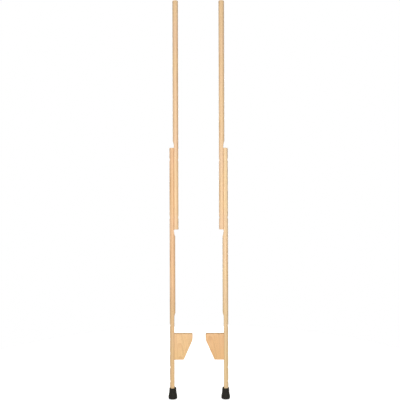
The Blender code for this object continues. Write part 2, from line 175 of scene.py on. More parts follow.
# %% [markdown]
# ## Paper floor
#
# The stilts stand on a round sheet of white paper. Most of the white that the camera sees in it is a glow of
# its own, again for the camera and reflections only. The rest comes from the lamps, so that the stilts keep a
# soft shadow around their feet. The sheet is only about three metres across, because a floor up to the
# horizon would run into the dimmer far end of the lamps and show a grey band.

# %% Floor
floor_glow = 0.68
floor_radius = 1.6
floor_segments = 96

# Uncoated paper scatters light evenly: to the eye it is a flat white without any sheen.
floor_paper, paper_tree, paper = new_material("white_paper_floor")
paper.inputs["Base Color"].default_value = linear("E2E2E0")
paper.inputs["Roughness"].default_value = 1.0
paper.inputs["Specular IOR Level"].default_value = 0.0
paper.inputs["Emission Color"].default_value = white
glow = add_node(paper_tree, "ShaderNodeMath", {"operation": "MULTIPLY"},
                {0: sees_background(paper_tree), 1: floor_glow})
paper_tree.links.new(glow.outputs[0], paper.inputs["Emission Strength"])

floor_shape = bmesh.new()
bmesh.ops.create_circle(floor_shape, cap_ends=True, segments=floor_segments, radius=floor_radius)
floor_mesh = bpy.data.meshes.new("floor")
floor_shape.to_mesh(floor_mesh)
floor_shape.free()
floor = bpy.data.objects.new("floor", floor_mesh)
floor.data.materials.append(floor_paper)
bpy.context.scene.collection.objects.link(floor)
print(f"floor {floor_radius * 2:.1f} m across")

# %% [markdown]
# ## Studio light
#
# On the photograph the middle of each round pole is bright and both of its edges are darker, and the tops of
# the footrests are darker than their fronts. So the main light is a softbox just behind the camera, not a
# lamp overhead. It stands close enough for its light to fall off a little towards both ends of the poles. Two
# softboxes light the back as well as that one lights the front, so that the stilts look right from behind,
# and one on the ceiling lights the floor.

# %% Softboxes
chest_point = (0, 0, 1.15)
middle_point = (0, 0, 1.0)


def add_softbox(name, place, target, width, height, watts):
    """Adds a rectangular lamp that looks from its place to its target."""
    light = bpy.data.lights.new(name, "AREA")
    light.shape = "RECTANGLE"
    light.size = width
    light.size_y = height
    light.energy = watts
    softbox = bpy.data.objects.new(name, light)
    softbox.location = place
    softbox.rotation_euler = (Vector(target) - Vector(place)).to_track_quat("-Z", "Y").to_euler()
    bpy.context.scene.collection.objects.link(softbox)


add_softbox("front_softbox", place=(-0.15, -3.1, 1.15), target=chest_point, width=0.9, height=1.2, watts=84)
add_softbox("ceiling_softbox", place=(0, 0, 6.0), target=middle_point, width=4.0, height=4.0, watts=95)
for side, across in (("left", -1.4), ("right", 1.4)):
    add_softbox(f"back_{side}_softbox", place=(across, 3.5, 1.5), target=middle_point,
                width=1.0, height=2.2, watts=66)

# %% [markdown]
# ## The grain of beech
#
# The poles and footrests are steamed beech under a thin satin lacquer. To the eye that is a pale, slightly
# pink ground with fine growth lines along the stick, broad patches that are a little yellower or pinker, and
# short brown flecks. An image of wood would slide over the shape and break at its ends. This finish is a
# solid block of wood instead: rings around a pith line that lies outside the piece, stretched along the
# grain, so the sides show long lines and the ends show the rings themselves.

# %% Growth rings
ring_width = 2.4 * mm  # one year of growth


def beech_rings(tree, along):
    """How far into its year the wood is: 0 in pale early wood, and up to 1 in dark late wood."""
    # A ring wave of scale 1 repeats every 2 pi / 20 metres.
    rings = add_node(tree, "ShaderNodeTexWave", {
        "wave_type": "RINGS", "rings_direction": "Z", "wave_profile": "SAW"}, {
        "Vector": along, "Scale": 2 * math.pi / (20 * ring_width), "Distortion": 7.0,
        "Detail": 2.0, "Detail Scale": 0.22}).outputs["Fac"]
    return add_node(tree, "ShaderNodeMapRange", {"interpolation_type": "SMOOTHSTEP"}, {
        "Value": rings, "From Min": 0.35, "From Max": 1.0}).outputs[0]


print(f"growth rings {ring_width / mm:.1f} mm wide")

# %% Streaks and patches
streak_width = 7 * mm
patch_size = 150 * mm
ring_depth = 0.75  # share of the dark wood's colour in the darkest late wood
yellow_patch = (1.0, 1.01, 0.965)
pink_patch = (1.0, 0.99, 1.035)


def beech_ground(tree, centred, along, late, light_wood, dark_wood):
    """The colour of the wood between its flecks: rings, long streaks and broad patches."""
    ring_tone = add_node(tree, "ShaderNodeMath", {"operation": "MULTIPLY"}, {
        0: late, 1: ring_depth}).outputs[0]
    wood = add_node(tree, "ShaderNodeMix", {"data_type": "RGBA"}, {
        0: ring_tone, 6: linear(light_wood), 7: linear(dark_wood)}).outputs[2]
    streaks = add_node(tree, "ShaderNodeTexNoise", inputs={
        "Vector": along, "Scale": 1 / streak_width, "Detail": 3.0, "Roughness": 0.55}).outputs["Fac"]
    streak_tone = add_node(tree, "ShaderNodeMapRange", inputs={
        "Value": streaks, "From Min": 0.3, "From Max": 0.7, "To Min": 0.945, "To Max": 1.05}).outputs[0]
    wood = add_node(tree, "ShaderNodeVectorMath", {"operation": "SCALE"}, {
        0: wood, "Scale": streak_tone}).outputs[0]
    patches = add_node(tree, "ShaderNodeTexNoise", inputs={
        "Vector": centred, "Scale": 1 / patch_size, "Detail": 1.0}).outputs["Fac"]
    patch_share = add_node(tree, "ShaderNodeMapRange", {"interpolation_type": "SMOOTHSTEP"}, {
        "Value": patches, "From Min": 0.35, "From Max": 0.65}).outputs[0]
    patch_tone = add_node(tree, "ShaderNodeMix", {"data_type": "VECTOR"}, {
        0: patch_share, 4: yellow_patch, 5: pink_patch}).outputs[1]
    return add_node(tree, "ShaderNodeVectorMath", {"operation": "MULTIPLY"}, {
        0: wood, 1: patch_tone}).outputs[0]


print(f"streaks {streak_width / mm:.0f} mm wide, patches {patch_size / mm:.0f} mm across")

# %% [markdown]
# ## Ends, flecks and painted shade near the ground
#
# Three more things make a stick of beech look real. Its ends drink more lacquer, so they are darker and
# duller, with clear rings. The rays of the trunk, cut lengthwise, show as short brown dashes on its sides.
# And a leg is painted darker and greyer towards the ground. Part of that is painted shade, where the light
# falls off, and part is a greyer tone of the lower leg. Each of them is a helper that takes the wood's colour
# so far and gives it back with one more layer. The Normal output tells ends from sides, so no face has to be
# marked by hand.

# %% End grain
end_wood = "C4A278"


def end_grain(tree):
    """1 where the surface looks up or down, along the grain, and 0 on the sides."""
    normal = add_node(tree, "ShaderNodeNewGeometry").outputs["Normal"]
    upright = add_node(tree, "ShaderNodeSeparateXYZ", inputs={0: normal}).outputs["Z"]
    facing = add_node(tree, "ShaderNodeMath", {"operation": "ABSOLUTE"}, {0: upright}).outputs[0]
    return add_node(tree, "ShaderNodeMapRange", {"interpolation_type": "SMOOTHSTEP"}, {
        "Value": facing, "From Min": 0.55, "From Max": 0.98}).outputs[0]


def darker_ends(tree, wood, ends, late):
    """Wood whose ends are darker, most of all in the late wood of each ring."""
    end_tone = add_node(tree, "ShaderNodeMapRange", inputs={
        "Value": late, "To Min": 0.3, "To Max": 0.75}).outputs[0]
    end_share = add_node(tree, "ShaderNodeMath", {"operation": "MULTIPLY"}, {
        0: ends, 1: end_tone}).outputs[0]
    return add_node(tree, "ShaderNodeMix", {"data_type": "RGBA"}, {
        0: end_share, 6: wood, 7: linear(end_wood)}).outputs[2]


print(f"ends darken towards {end_wood}")

# %% Flecks
fleck_width = 0.6 * mm  # a little larger than life, so that flecks show from a metre away
fleck_stretch = 6  # a fleck is this many times as long as wide
fleck_brown = "B0804A"


def flecked(tree, wood, ends, centred):
    """Wood with brown dashes on its sides and a few brown dots on its ends."""
    dashes = add_node(tree, "ShaderNodeMapping", inputs={
        "Vector": centred, "Scale": (1, 1, 1 / fleck_stretch)}).outputs[0]
    noise = add_node(tree, "ShaderNodeTexNoise", inputs={
        "Vector": dashes, "Scale": 1 / fleck_width, "Detail": 1.0}).outputs["Fac"]
    peaks = add_node(tree, "ShaderNodeMapRange", {"interpolation_type": "SMOOTHSTEP"}, {
        "Value": noise, "From Min": 0.60, "From Max": 0.70}).outputs[0]
    on_sides = add_node(tree, "ShaderNodeMapRange", inputs={
        "Value": ends, "To Min": 0.55, "To Max": 0.15}).outputs[0]
    flecks = add_node(tree, "ShaderNodeMath", {"operation": "MULTIPLY"}, {0: peaks, 1: on_sides}).outputs[0]
    return add_node(tree, "ShaderNodeMix", {"data_type": "RGBA"}, {
        0: flecks, 6: wood, 7: linear(fleck_brown)}).outputs[2]


print(f"flecks {fleck_width * fleck_stretch / mm:.1f} mm long")

# %% Greyer near the ground, partly painted shade
grey_start_height = 660 * mm  # a leg is not greyed above this height
full_grey_height = 400 * mm  # and all of it below this one
# the grey-brown that is painted into the lower legs: partly painted shade, partly their own greyer tone
low_grey_wood = "C4AA7A"


def greyed_low(tree, wood, place, low_grey):
    """Wood painted greyer towards the ground, by up to this share. Part of it is painted shade and part is a
    greyer tone.
    """
    height = add_node(tree, "ShaderNodeSeparateXYZ", inputs={0: place}).outputs["Z"]
    greying = add_node(tree, "ShaderNodeMapRange", {"interpolation_type": "SMOOTHSTEP"}, {
        "Value": height, "From Min": grey_start_height, "From Max": full_grey_height, "To Max": low_grey}).outputs[0]
    return add_node(tree, "ShaderNodeMix", {"data_type": "RGBA"}, {
        0: greying, 6: wood, 7: linear(low_grey_wood)}).outputs[2]


print(f"dirt below {grey_start_height / mm:.0f} mm")

# %% [markdown]
# ## Six sticks of lacquered beech
#
# Now the layers come together. The lacquer is so thin that it doesn't quite fill the fibres, which gives a
# soft sheen without a sharp highlight: a fine noise along the grain drives both the roughness and a slight
# relief. The ends stay dull, because a sheen would turn the flat top of a footrest white wherever it mirrors
# a lamp. Each stick and each footrest gets a material of its own, with its own pith and its own two tones,
# because a maker takes them from different boards. The tones are a little deeper than the wood on the
# photograph, because the sheen of a white room lies over them.

# %% Lacquered beech
grain_stretch = 30  # lines in the grain are this many times as long as wide
fibre_width = 0.25 * mm  # a few times as coarse as life, so that the sheen shows up close
end_roughness = 0.9


def beech(name, centre_x, pith, light_wood, dark_wood, lean, low_grey=0.0):
    """Satin beech whose pith lies some millimetres beside its centre and leans by these turns."""
    material, tree, shader = new_material(name)
    place = add_node(tree, "ShaderNodeTexCoord").outputs["Object"]
    centred = add_node(tree, "ShaderNodeMapping", inputs={
        "Vector": place, "Location": (-centre_x - pith[0] * mm, -pith[1] * mm, 0),
        "Rotation": lean}).outputs[0]
    along = add_node(tree, "ShaderNodeMapping", inputs={
        "Vector": centred, "Scale": (1, 1, 1 / grain_stretch)}).outputs[0]
    late = beech_rings(tree, along)
    ends = end_grain(tree)
    wood = beech_ground(tree, centred, along, late, light_wood, dark_wood)
    # painted shade and a greyer tone towards the ground, on the legs only
    wood = greyed_low(tree, wood, place, low_grey)
    wood = darker_ends(tree, wood, ends, late)
    wood = flecked(tree, wood, ends, centred)
    tree.links.new(wood, shader.inputs["Base Color"])

    fibres = add_node(tree, "ShaderNodeTexNoise", inputs={
        "Vector": along, "Scale": 1 / fibre_width, "Detail": 2.0}).outputs["Fac"]
    sheen = add_node(tree, "ShaderNodeMapRange", inputs={
        "Value": fibres, "From Min": 0.3, "From Max": 0.7, "To Min": 0.48, "To Max": 0.62}).outputs[0]
    roughness = add_node(tree, "ShaderNodeMix", {"data_type": "FLOAT"}, {
        0: ends, 2: sheen, 3: end_roughness}).outputs[0]
    tree.links.new(roughness, shader.inputs["Roughness"])
    relief = add_node(tree, "ShaderNodeBump", inputs={
        "Height": fibres, "Strength": 0.25, "Distance": 0.2 * mm}).outputs[0]
    tree.links.new(relief, shader.inputs["Normal"])
    shader.inputs["IOR"].default_value = 1.45
    return material


print(f"fibres {fibre_width / mm:.2f} mm wide")

# %% The maker's boards
stick_lean = (math.radians(0.35), math.radians(-0.25), 0)  # wood is never sawn quite along the trunk
board_lean = (math.radians(2), math.radians(4), 0)  # and a short board still less, which gives it arches
# share of painted grey at the foot of each leg, partly painted shade
leg_low_grey = 0.4

leg_wood = {
    "left": beech("beech_left_leg", leg_x, (31, 22), "ECC396", "D39F68", stick_lean, leg_low_grey),
    "right": beech("beech_right_leg", -leg_x, (-26, 35), "F1D2A7", "DBB17E", stick_lean, leg_low_grey),
}
hand_wood = {
    "left": beech("beech_left_hand_pole", hand_x, (-38, 18), "F0CDA4", "DBAF7E", stick_lean),
    "right": beech("beech_right_hand_pole", -hand_x, (33, 27), "EECBA2", "DAB180", stick_lean),
}
board_x = footrest_low.x
footrest_wood = {
    "left": beech("beech_left_footrest", board_x, (50, 60), "E4BC89", "D9AB79", board_lean),
    "right": beech("beech_right_footrest", -board_x, (-44, 66), "E1B481", "D5A372", board_lean),
}
beech_pieces = [*leg_wood.values(), *hand_wood.values(), *footrest_wood.values()]
print("beech:", [material.name for material in beech_pieces])

# %% [markdown]
# ## Black rubber
#
# The feet are moulded from hard black rubber. To the eye it isn't pure black and isn't shiny: it is a very
# dark warm grey with a fine matt grain from the mould, and a little ground dust around the sole. A flat black
# would hide the shape of the foot, so noise mixes two near-blacks in soft clouds, and the same clouds make
# the dust patchy. A finer noise is the grit of the mould. A Specular IOR Level of 0.5 is all the reflection
# that the IOR gives. In a white room that would make the rubber grey, so it is turned down.

# %% Rubber finish
grit = 0.5 * mm  # coarser than life, so that it shows up close
rubber_cloud = 7 * mm  # size of the lighter and darker clouds
dust_height = 7 * mm
dust_share = 0.4
deep_black = "1F1E1B"
soft_black = "2E2D28"
dust_grey = "6A645A"
rubber_reflection = 0.06


def rubber(name, centre_x):
    """Moulded black rubber, centred on a foot's own axis."""
    material, tree, shader = new_material(name)
    place = add_node(tree, "ShaderNodeTexCoord").outputs["Object"]
    centred = add_node(tree, "ShaderNodeMapping", inputs={
        "Vector": place, "Location": (-centre_x, 0, 0)}).outputs[0]
    height = add_node(tree, "ShaderNodeSeparateXYZ", inputs={0: centred}).outputs["Z"]
    cloud = add_node(tree, "ShaderNodeTexNoise", inputs={
        "Vector": centred, "Scale": 1 / rubber_cloud, "Detail": 4.0}).outputs["Fac"]
    black = add_node(tree, "ShaderNodeMix", {"data_type": "RGBA"}, {
        0: cloud, 6: linear(deep_black), 7: linear(soft_black)}).outputs[2]
    low = add_node(tree, "ShaderNodeMapRange", {"interpolation_type": "SMOOTHSTEP"}, {
        "Value": height, "From Min": dust_height, "From Max": 0.0, "To Max": dust_share}).outputs[0]
    dust = add_node(tree, "ShaderNodeMath", {"operation": "MULTIPLY"}, {0: low, 1: cloud}).outputs[0]
    colour = add_node(tree, "ShaderNodeMix", {"data_type": "RGBA"}, {
        0: dust, 6: black, 7: linear(dust_grey)}).outputs[2]
    tree.links.new(colour, shader.inputs["Base Color"])

    grain = add_node(tree, "ShaderNodeTexNoise", inputs={
        "Vector": centred, "Scale": 1 / grit, "Detail": 2.0}).outputs["Fac"]
    matt = add_node(tree, "ShaderNodeMapRange", inputs={
        "Value": grain, "From Min": 0.3, "From Max": 0.7, "To Min": 0.5, "To Max": 0.66}).outputs[0]
    tree.links.new(matt, shader.inputs["Roughness"])
    relief = add_node(tree, "ShaderNodeBump", inputs={
        "Height": grain, "Strength": 0.4, "Distance": 0.1 * mm}).outputs[0]
    tree.links.new(relief, shader.inputs["Normal"])
    shader.inputs["IOR"].default_value = 1.52
    shader.inputs["Specular IOR Level"].default_value = rubber_reflection
    return material


foot_rubber = {"left": rubber("rubber_left_foot", leg_x), "right": rubber("rubber_right_foot", -leg_x)}
print("rubber:", [material.name for material in foot_rubber.values()])

# %% [markdown]
# ## Zinc-plated steel
#
# The bolts, washers and inserts are steel with a thin coat of bright zinc. It is a metal, so its colour is
# the colour of its reflections: to the eye a cool grey with faint yellow and blue clouds. Handling dulls it
# in patches. One noise drives both the clouds and the roughness, so that the yellower places are the duller
# ones, as on real plating.

# %% Zinc finish
zinc_cloud = 4 * mm  # size of the yellower and bluer clouds
zinc_grain = 0.4 * mm  # size of the crystals in the plating, a few times as large as life
blue_zinc = "A2A7AF"
yellow_zinc = "B6B3A4"

zinc, zinc_tree, zinc_shader = new_material("bright_zinc_on_steel")
zinc_place = add_node(zinc_tree, "ShaderNodeTexCoord").outputs["Object"]
clouds = add_node(zinc_tree, "ShaderNodeTexNoise", inputs={
    "Vector": zinc_place, "Scale": 1 / zinc_cloud, "Detail": 3.0}).outputs["Fac"]
zinc_colour = add_node(zinc_tree, "ShaderNodeMix", {"data_type": "RGBA"}, {
    0: clouds, 6: linear(blue_zinc), 7: linear(yellow_zinc)}).outputs[2]
zinc_tree.links.new(zinc_colour, zinc_shader.inputs["Base Color"])
dullness = add_node(zinc_tree, "ShaderNodeMapRange", inputs={
    "Value": clouds, "From Min": 0.3, "From Max": 0.7, "To Min": 0.24, "To Max": 0.42}).outputs[0]
zinc_tree.links.new(dullness, zinc_shader.inputs["Roughness"])
crystals = add_node(zinc_tree, "ShaderNodeTexNoise", inputs={
    "Vector": zinc_place, "Scale": 1 / zinc_grain, "Detail": 2.0}).outputs["Fac"]
zinc_relief = add_node(zinc_tree, "ShaderNodeBump", inputs={
    "Height": crystals, "Strength": 0.15, "Distance": 0.05 * mm}).outputs[0]
zinc_tree.links.new(zinc_relief, zinc_shader.inputs["Normal"])
zinc_shader.inputs["Metallic"].default_value = 1.0
plated = {"left": zinc, "right": zinc}
print("metal:", zinc.name)

# %% [markdown]
# ## From a shape to a pair of pieces
#
# Each shape is drawn once, in place on the left stilt. A finished piece is a mesh object that stays at the
# origin with its place in its vertices, as the frame's own solids do. The helper below makes the left piece
# and its right twin, shades them smooth up to their sharp edges, and ties each to the body it moves with.

# %% Pair helper
sharp_edge = math.radians(32)


def add_pair(kind, stuff, shape, body, materials):
    """Adds the left piece and its right twin, each in place of the frame's solid of that kind."""
    bmesh.ops.recalc_face_normals(shape, faces=shape.faces)
    for side, turn in (("left", 0), ("right", math.pi)):
        mesh = bpy.data.meshes.new(f"{side}_{kind}_{stuff}")
        shape.to_mesh(mesh)
        mesh.transform(Matrix.Rotation(turn, 4, "Z"))
        mesh.shade_smooth()
        mesh.set_sharp_from_angle(angle=sharp_edge)
        mesh.materials.append(materials[side])
        piece = bpy.data.objects.new(mesh.name, mesh)
        bpy.context.scene.collection.objects.link(piece)
        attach(piece, f"{side}_{body}")
        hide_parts(f"{side}_{kind}")
    print(f"{kind}: {len(shape.faces)} faces")
    shape.free()


print(f"edges over {math.degrees(sharp_edge):.0f} degrees stay sharp")

# %% [markdown]
# ## Carving and turning
#
# Two ways of making cover almost everything here, as they do in the workshop. Round things are turned: half
# of their outline is spun about an axis. Holes and flats are carved: a cutter is modelled and taken away with
# a Boolean, which is what a drill or a milling head does to the wood.

# %% Turning helpers
weld = 0.01 * mm  # points closer together than this become one
corner_steps = 6  # straight pieces in a small rounded corner


def arc(centre, radius, start, end, steps=corner_steps):
    """Points on an arc between two angles, both included."""
    turns = [start + (end - start) * step / steps for step in range(steps + 1)]
    return [(centre[0] + radius * math.cos(turn), centre[1] + radius * math.sin(turn)) for turn in turns]


def turned(profile, segments):
    """Spins (radius, height) points about Z. A profile that stays off the axis becomes a ring."""
    shape = bmesh.new()
    points = [shape.verts.new((radius, 0, height)) for radius, height in profile]
    edges = [shape.edges.new(pair) for pair in zip(points, points[1:])]
    if profile[0][0] > 0:
        edges.append(shape.edges.new((points[-1], points[0])))
    bmesh.ops.spin(shape, geom=points + edges, cent=(0, 0, 0), axis=(0, 0, 1), angle=2 * math.pi,
                   steps=segments, use_merge=True)
    bmesh.ops.remove_doubles(shape, verts=shape.verts, dist=weld)
    bmesh.ops.recalc_face_normals(shape, faces=shape.faces)
    return shape


def lay_along_x(shape, start_x, height, facing=1):
    """Lays a shape that was turned about Z along X, with its own zero at start_x."""
    place = Matrix.Translation((start_x, 0, height)) @ Matrix.Rotation(facing * math.pi / 2, 4, "Y")
    bmesh.ops.transform(shape, matrix=place, verts=shape.verts)
    return shape


print(f"rounded corners have {corner_steps} steps")

# %% Carving helpers
def extruded(outline, thickness):
    """A plate with this outline of (x, z) points, centred on the plane of the two stilts."""
    shape = bmesh.new()
    face = shape.faces.new([shape.verts.new((x, -thickness / 2, z)) for x, z in outline])
    grown = bmesh.ops.extrude_face_region(shape, geom=[face])["geom"]
    lifted = [item for item in grown if isinstance(item, bmesh.types.BMVert)]
    bmesh.ops.translate(shape, verts=lifted, vec=(0, thickness, 0))
    bmesh.ops.recalc_face_normals(shape, faces=shape.faces)
    return shape


def combine(blank, tools, operation="DIFFERENCE"):
    """Takes each tool from the blank, or joins it on, with an exact Boolean."""
    objects = []
    for shape in [blank, *tools]:
        mesh = bpy.data.meshes.new("workshop")
        shape.to_mesh(mesh)
        shape.free()
        item = bpy.data.objects.new("workshop", mesh)
        bpy.context.scene.collection.objects.link(item)
        objects.append(item)
    for tool in objects[1:]:
        modifier = objects[0].modifiers.new("carve", "BOOLEAN")
        modifier.operation = operation
        modifier.solver = "EXACT"
        modifier.object = tool
    result = bmesh.new()
    result.from_object(objects[0], bpy.context.evaluated_depsgraph_get())
    for item in objects:
        mesh = item.data
        bpy.data.objects.remove(item)
        bpy.data.meshes.remove(mesh)
    # Where two edges cross almost in one point the Boolean leaves a sliver, which the weld closes up.
    bmesh.ops.remove_doubles(result, verts=result.verts, dist=weld)
    return result


print("workshop ready")

# %% [markdown]
# ## Where the holes are
#
# Five holes in the leg take the footrest's two bolts, so a growing child can stand higher or lower. Two more
# hold the lap, where leg and hand pole stand side by side. Each hole is stepped: a wide, shallow seat for the
# head and a narrow way through for the shank. Turning that stepped outline makes one cutter for both.

# %% Places of the bolts
bolt_low, bolt_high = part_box("left_step_bolt_lower")
upper_bolt_low, upper_bolt_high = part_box("left_step_bolt_upper")
washer_low, washer_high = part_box("left_step_washer_lower")
insert_low, insert_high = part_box("left_step_insert_lower")
lap_bolt_low, lap_bolt_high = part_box("left_lap_bolt_lower")
lap_nut_low, lap_nut_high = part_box("left_lap_nut_lower")
upper_lap_low, upper_lap_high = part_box("left_lap_bolt_upper")

step_heights = {
    "lower": (bolt_low.z + bolt_high.z) / 2,
    "upper": (upper_bolt_low.z + upper_bolt_high.z) / 2,
}
lap_heights = {
    "lower": (lap_bolt_low.z + lap_bolt_high.z) / 2,
    "upper": (upper_lap_low.z + upper_lap_high.z) / 2,
}
hole_pitch = step_heights["upper"] - step_heights["lower"]
holes_below = 2  # both counted from the lower bolt
holes_above = 2
step_holes = [step_heights["lower"] + place * hole_pitch for place in range(-holes_below, holes_above + 1)]
print("holes in a leg at", [round(height / mm) for height in step_holes], "mm")

# %% Hole cutters
step_screw_radius = 4 * mm
lap_screw_radius = 3 * mm
lap_sleeve_radius = 4.25 * mm
lap_head_height = 2.8 * mm
head_clearance = 0.5 * mm
washer_radius = (washer_high.z - washer_low.z) / 2
lap_head_radius = (lap_bolt_high.z - lap_bolt_low.z) / 2
overshoot = 4 * mm  # cutters stand out of the wood by this much
hole_segments = 48


def stepped_hole(outside_x, seat_x, far_x, seat_radius, bore_radius, height):
    """A cutter along X: wide from outside the wood to the seat, and narrow from there on."""
    facing = math.copysign(1, far_x - outside_x)
    depth = abs(seat_x - outside_x)
    length = abs(far_x - outside_x)
    profile = [(0, 0), (seat_radius, 0), (seat_radius, depth), (bore_radius, depth),
               (bore_radius, length), (0, length)]
    return lay_along_x(turned(profile, hole_segments), outside_x, height, facing)


leg_outside = leg_low.x - overshoot
leg_inside = leg_high.x + overshoot
leg_holes = [
    stepped_hole(leg_outside, washer_high.x + fit_gap, leg_inside, washer_radius + head_clearance,
                 step_screw_radius + fit_gap, height)
    for height in step_holes
]
leg_holes += [
    stepped_hole(leg_outside, lap_bolt_low.x + lap_head_height + fit_gap, leg_inside,
                 lap_head_radius + head_clearance, lap_screw_radius + fit_gap, height)
    for height in lap_heights.values()
]
hand_outside = hand_high.x + overshoot
hand_inside = hand_low.x - overshoot
hand_holes = [
    stepped_hole(hand_outside, lap_nut_high.x - lap_head_height - fit_gap, hand_inside,
                 lap_head_radius + head_clearance, lap_sleeve_radius + fit_gap, height)
    for height in lap_heights.values()
]
print(f"{len(leg_holes)} holes in a leg, {len(hand_holes)} in a hand pole")

# %% [markdown]
# ## Milled flats
#
# Where two round sticks meet they would touch along a line only, so a flat is milled into each. The round
# milling head runs in from the end of the pole and lifts out again, which leaves the shallow hollow that
# shows as a notch on the outline. A plain box would cut a square step there, so the cutter's own outline has
# that arc. Two lighter passes, with the pole turned one way and then the other, ease the sharp edges of the
# flat, and leave the fine dark line between the poles.

# %% Milling cutters
flat_reach = leg_face_x - leg_x
flat_depth = pole_radius - flat_reach
ease_depth = 0.6 * mm
ease_turn = math.radians(30)
cutter_radius = 62.5 * mm
run_out_steps = 14


def milled_flat(face_x, outward, open_end, full_end):
    """What the milling head takes away between the pole's open end and where it has lifted out."""
    along = math.copysign(1, full_end - open_end)
    lift = flat_depth + overshoot
    swing = math.acos(1 - lift / cutter_radius)
    run_out = [
        (face_x + outward * (cutter_radius - across), full_end + along * up)
        for across, up in arc((0, 0), cutter_radius, 0, swing, run_out_steps)
    ]
    start = open_end - along * overshoot
    outline = [(face_x + outward * lift, start), (face_x, start), *run_out]
    return extruded(outline, 2 * (pole_radius + overshoot))


def eased_flat(axis_x, outward, open_end, full_end):
    """The cutter of a flat, and the two lighter passes that ease its edges."""
    passes = [milled_flat(axis_x + outward * flat_reach, outward, open_end, full_end)]
    corner = math.acos(flat_reach / pole_radius)
    ease_reach = pole_radius * math.cos(corner - ease_turn) - ease_depth
    for turn in (-ease_turn, ease_turn):
        light_pass = milled_flat(axis_x + outward * ease_reach, outward, open_end, full_end)
        bmesh.ops.rotate(light_pass, verts=light_pass.verts, cent=(axis_x, 0, 0),
                         matrix=Matrix.Rotation(turn, 3, "Z"))
        passes.append(light_pass)
    return passes


print(f"flats {flat_depth / mm:.2f} mm deep")

# %% [markdown]
# ## Poles
#
# A pole is a stock dowel, sanded round at its ends. Blender's cone with two equal radii is that dowel, a
# bevel rounds its ends, and the cutters do the rest. The long sides are divided first: thin triangles as long
# as the pole itself would shade badly around the holes.

# %% Poles
pole_segments = 96
pole_rings = 24
end_radius = 2 * mm
end_steps = 4
lap_overrun = 9 * mm  # a lap flat runs this far past the end of the other pole
step_overrun = 7 * mm  # the lower flat runs this far past the highest place of the footrest


def dowel(axis_x, bottom, top):
    """A round stick with softly rounded ends."""
    shape = bmesh.new()
    middle_height = (bottom + top) / 2
    bmesh.ops.create_cone(shape, cap_ends=True, segments=pole_segments, radius1=pole_radius,
                          radius2=pole_radius, depth=top - bottom,
                          matrix=Matrix.Translation((axis_x, 0, middle_height)))
    sides = [edge for edge in shape.edges if abs(edge.verts[0].co.z - edge.verts[1].co.z) > end_radius]
    bmesh.ops.subdivide_edges(shape, edges=sides, cuts=pole_rings)
    ends = [face for face in shape.faces if len(face.verts) == pole_segments]
    rims = [edge for face in ends for edge in face.edges]
    bmesh.ops.bevel(shape, geom=rims, offset=end_radius, offset_type="OFFSET", affect="EDGES",
                    segments=end_steps, profile=0.5, material=-1)
    return shape


step_flat_top = footrest_high.z + hole_pitch + step_overrun
leg_cutters = [
    *eased_flat(leg_x, 1, leg_high.z, hand_low.z - lap_overrun),
    *eased_flat(leg_x, 1, leg_low.z, step_flat_top),
    *leg_holes,
]
hand_cutters = [*eased_flat(hand_x, -1, hand_low.z, leg_high.z + lap_overrun), *hand_holes]
leg_shape = combine(dowel(leg_x, leg_low.z, leg_high.z), leg_cutters)
hand_shape = combine(dowel(hand_x, hand_low.z, hand_high.z), hand_cutters)
add_pair("leg_pole", "wood", leg_shape, "stilt", leg_wood)
add_pair("hand_pole", "wood", hand_shape, "stilt", hand_wood)

# %% [markdown]
# ## Footrests
#
# A footrest is a wedge sawn from thick beech board. Its top is level, and its nose is upright and then slants
# back to the leg. All edges are rounded over, so that they don't cut into a foot, except where the wedge lies
# on the leg. The outline is drawn with one arc at the nose, extruded, and its edges are bevelled. Two blind
# holes with the drill's pointed end take the threaded inserts.

# %% Footrests
nose_height = 30 * mm
nose_radius = 40 * mm
nose_steps = 12
toe_width = 47.5 * mm
edge_radius = 3 * mm
edge_steps = 5
insert_relief = 4 * mm
drill_point = 3 * mm

flat_plane_x = partner_face_x - fit_gap / 2
nose_end = footrest_high.z - nose_height
toe_x = flat_plane_x + toe_width
slope = math.atan2(footrest_high.x - toe_x, nose_end - footrest_low.z)
nose_centre = (footrest_high.x - nose_radius, nose_end + nose_radius * math.tan(slope / 2))
outline = [(partner_face_x, footrest_low.z), (partner_face_x, footrest_high.z),
           (footrest_high.x, footrest_high.z), *arc(nose_centre, nose_radius, 0, -slope, nose_steps),
           (toe_x, footrest_low.z)]
wedge = extruded(outline, footrest_high.y - footrest_low.y)
sharp = [edge for edge in wedge.edges if edge.calc_face_angle() > sharp_edge]
rounded = [edge for edge in sharp if any(abs(vert.co.x - partner_face_x) > weld for vert in edge.verts)]
bmesh.ops.bevel(wedge, geom=rounded, offset=edge_radius, offset_type="OFFSET", affect="EDGES",
                segments=edge_steps, profile=0.5, material=-1)

insert_radius = (insert_high.z - insert_low.z) / 2
insert_hole_radius = insert_radius + fit_gap
insert_hole_length = max(bolt_high.x, insert_high.x) + insert_relief - leg_face_x
insert_holes = []
for height in step_heights.values():
    profile = [(0, 0), (insert_hole_radius, 0), (insert_hole_radius, insert_hole_length - drill_point),
               (0, insert_hole_length)]
    insert_holes.append(lay_along_x(turned(profile, hole_segments), leg_face_x, height))
add_pair("footrest", "wood", combine(wedge, insert_holes), "footrest_set", footrest_wood)

# %% [markdown]
# ## Rubber feet
#
# A rubber foot is a cup that is pushed over the end of the leg: a sleeve that widens downwards, a bell-shaped
# flare and rings of tread on its sole. It was moulded round, so half of its outline is spun about the leg's
# axis. Small arcs round off the rim and the base, because rubber can't be moulded with knife edges. The mould
# closes around the widest place and leaves a fine raised line there, which is a few points of that outline.

# %% Rubber feet
foot_segments = 96
foot_floor = 8 * mm
foot_wall = 3 * mm
foot_taper = 1 * mm
base_height = 9 * mm
flare_height = 27 * mm
flare_steps = 14
base_edge = 2.5 * mm
rim_edge = 1.2 * mm
mould_line_height = 4.5 * mm
mould_line_rise = 0.15 * mm
groove_radii = (6 * mm, 12 * mm)
groove_width = 2 * mm
groove_depth = 1.5 * mm

